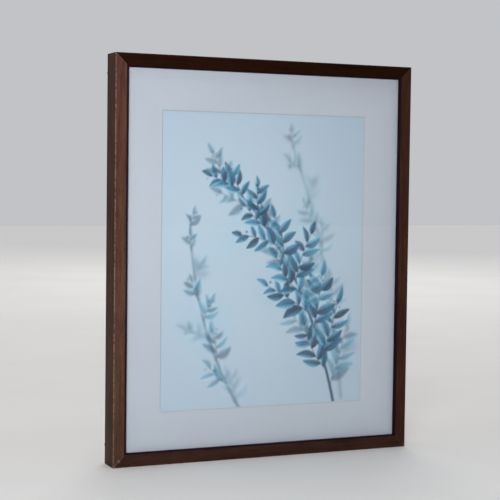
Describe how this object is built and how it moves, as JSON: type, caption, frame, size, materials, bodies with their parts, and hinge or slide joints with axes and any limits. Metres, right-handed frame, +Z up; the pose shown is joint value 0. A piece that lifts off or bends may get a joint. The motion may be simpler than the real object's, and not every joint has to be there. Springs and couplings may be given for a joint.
{
  "type": "wall picture frame",
  "caption": "Narrow dark-wood wall frame, mitred, with glazing, window mat, print, strainer, turn buttons and D-ring hangers.",
  "frame": {"origin": "the point on the wall surface midway between the two hooks that carry the frame", "axes": "+Y into the wall, so the picture faces -Y; +Z up; +X to the right as seen from the front"},
  "size_m": [0.4304, 0.0395, 0.532],
  "materials": {
    "walnut": "dark walnut stain under a satin lacquer",
    "clear_glazing": "clear, polished both sides",
    "mat_board": "smooth cool-white board with a white core",
    "print_paper": "matt print in pale blue and teal",
    "linen_tape": "gummed white tape",
    "hardboard": "brown hardboard, smooth side out",
    "softwood": "bare planed pine",
    "zinc_plate": "bright zinc plate",
    "screw_steel": "zinc-plated steel",
    "bumper_rubber": "matt black rubber"
  },
  "bodies": {
    "frame": {"rail_top": "walnut", "rail_bottom": "walnut", "rail_left": "walnut", "rail_right": "walnut", "glazing": "clear_glazing", "window_mat": "mat_board", "mount_board": "mat_board", "art_print": "print_paper", "book_hinge": "linen_tape", "t_hinges": "linen_tape", "backing_board": "hardboard", "strainer_top": "softwood", "strainer_bottom": "softwood", "strainer_left": "softwood", "strainer_right": "softwood", "hanger_strap_left": "zinc_plate", "hanger_strap_right": "zinc_plate", "button_screws": "screw_steel", "hanger_screws": "screw_steel", "strainer_screws": "screw_steel", "v_nails": "screw_steel", "bumper_top_left": "bumper_rubber", "bumper_top_right": "bumper_rubber", "bumper_bottom_left": "bumper_rubber", "bumper_bottom_right": "bumper_rubber"},
    "turn_button_left_upper": {"turn_button_left_upper": "zinc_plate"},
    "turn_button_left_lower": {"turn_button_left_lower": "zinc_plate"},
    "turn_button_right_upper": {"turn_button_right_upper": "zinc_plate"},
    "turn_button_right_lower": {"turn_button_right_lower": "zinc_plate"},
    "turn_button_top_left": {"turn_button_top_left": "zinc_plate"},
    "turn_button_top_right": {"turn_button_top_right": "zinc_plate"},
    "turn_button_bottom_left": {"turn_button_bottom_left": "zinc_plate"},
    "turn_button_bottom_right": {"turn_button_bottom_right": "zinc_plate"},
    "hanger_ring_left": {"hanger_ring_left": "zinc_plate"},
    "hanger_ring_right": {"hanger_ring_right": "zinc_plate"}
  },
  "joints": [
    {"name": "turn_button_left_upper_swivel", "type": "hinge", "parent": "frame", "child": "turn_button_left_upper", "pos_m": [-0.20995, -0.0045, 0.034], "axis": [0, 1, 0], "range_deg": [-90, 90]},
    {"name": "turn_button_left_lower_swivel", "type": "hinge", "parent": "frame", "child": "turn_button_left_lower", "pos_m": [-0.20995, -0.0045, -0.346], "axis": [0, 1, 0], "range_deg": [-90, 90]},
    {"name": "turn_button_right_upper_swivel", "type": "hinge", "parent": "frame", "child": "turn_button_right_upper", "pos_m": [0.20995, -0.0045, 0.034], "axis": [0, 1, 0], "range_deg": [-90, 90]},
    {"name": "turn_button_right_lower_swivel", "type": "hinge", "parent": "frame", "child": "turn_button_right_lower", "pos_m": [0.20995, -0.0045, -0.346], "axis": [0, 1, 0], "range_deg": [-90, 90]},
    {"name": "turn_button_top_left_swivel", "type": "hinge", "parent": "frame", "child": "turn_button_top_left", "pos_m": [-0.12, -0.0045, 0.10475], "axis": [0, 1, 0], "range_deg": [-90, 90]},
    {"name": "turn_button_top_right_swivel", "type": "hinge", "parent": "frame", "child": "turn_button_top_right", "pos_m": [0.12, -0.0045, 0.10475], "axis": [0, 1, 0], "range_deg": [-90, 90]},
    {"name": "turn_button_bottom_left_swivel", "type": "hinge", "parent": "frame", "child": "turn_button_bottom_left", "pos_m": [-0.12, -0.0045, -0.41675], "axis": [0, 1, 0], "range_deg": [-90, 90]},
    {"name": "turn_button_bottom_right_swivel", "type": "hinge", "parent": "frame", "child": "turn_button_bottom_right", "pos_m": [0.12, -0.0045, -0.41675], "axis": [0, 1, 0], "range_deg": [-90, 90]},
    {"name": "hanger_ring_left_swing", "type": "hinge", "parent": "frame", "child": "hanger_ring_left", "pos_m": [-0.1947, -0.00242, -0.0107], "axis": [1, 0, 0], "range_deg": [0, 174.4]},
    {"name": "hanger_ring_right_swing", "type": "hinge", "parent": "frame", "child": "hanger_ring_right", "pos_m": [0.1917, -0.00242, -0.0107], "axis": [1, 0, 0], "range_deg": [0, 174.4]}
  ]
}
